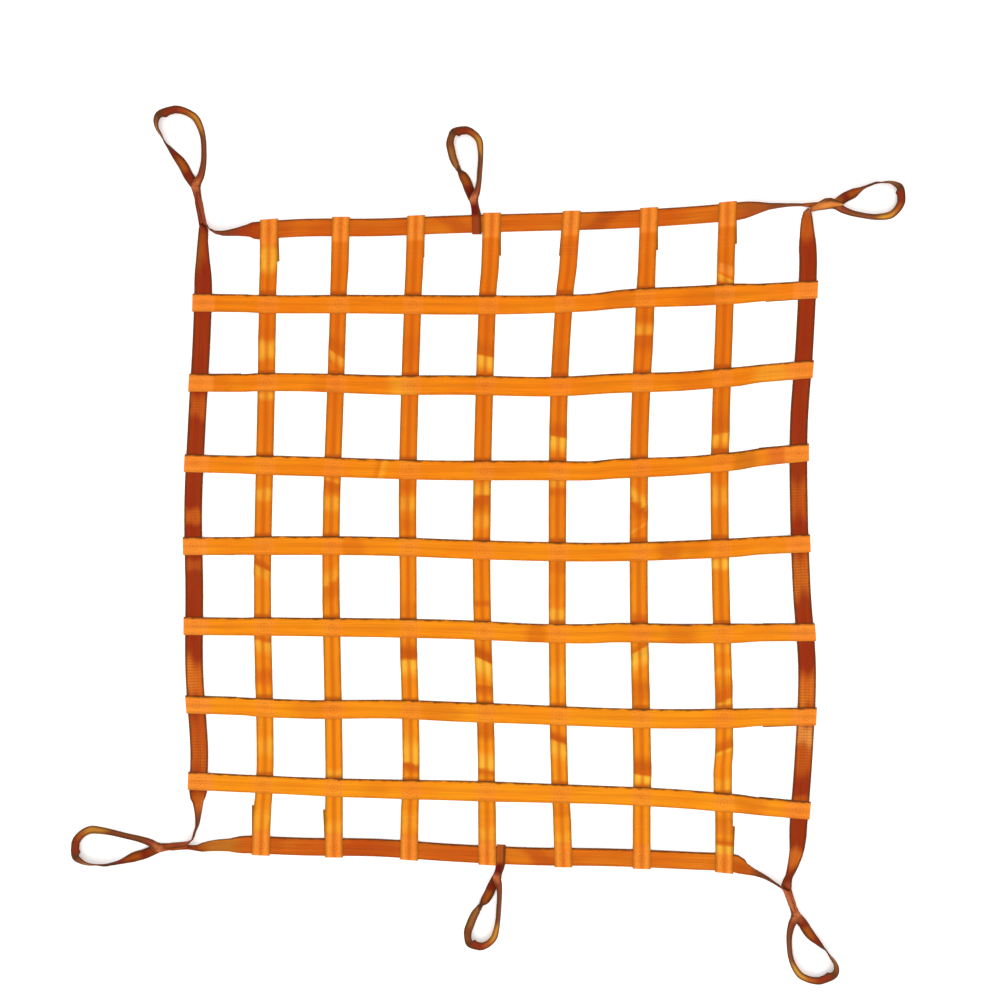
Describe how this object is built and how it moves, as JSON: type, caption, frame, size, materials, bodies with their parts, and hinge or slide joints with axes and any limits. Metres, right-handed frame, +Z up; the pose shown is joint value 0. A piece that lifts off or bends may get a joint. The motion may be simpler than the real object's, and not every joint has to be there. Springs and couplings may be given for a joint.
{
  "type": "cargo lifting net",
  "caption": "Flat cargo lifting net of crossed sewn webbing straps with a border strap on each side and webbing lifting eyes, lying spread out on the floor.",
  "frame": {"origin": "on the floor under the crossing of strap_v4 and strap_h4, near the middle of the net", "axes": "+Z up from the floor, +Y along the lengthwise straps towards the top side of the picture, +X along the crosswise straps to its right"},
  "size_m": [2.338, 2.4617, 0.0385],
  "materials": {
    "strap_v": "woven polyester webbing, matt",
    "strap_h": "woven polyester webbing, matt",
    "border_top": "woven polyester webbing, matt",
    "border_right": "woven polyester webbing, matt",
    "border_bottom": "woven polyester webbing, matt",
    "border_left": "woven polyester webbing, matt",
    "loop": "woven polyester webbing, matt"
  },
  "bodies": {
    "root": {"strap_v1": "strap_v", "strap_v2": "strap_v", "strap_v3": "strap_v", "strap_v4": "strap_v", "strap_v5": "strap_v", "strap_v6": "strap_v", "strap_v7": "strap_v", "strap_h1": "strap_h", "strap_h2": "strap_h", "strap_h3": "strap_h", "strap_h4": "strap_h", "strap_h5": "strap_h", "strap_h6": "strap_h", "strap_h7": "strap_h", "border_top": "border_top", "border_right": "border_right", "border_bottom": "border_bottom", "border_left": "border_left", "loop_top_left": "loop", "loop_top_right": "loop", "loop_bottom_right": "loop", "loop_bottom_left": "loop", "loop_top_middle": "loop", "loop_bottom_middle": "loop"}
  },
  "joints": []
}
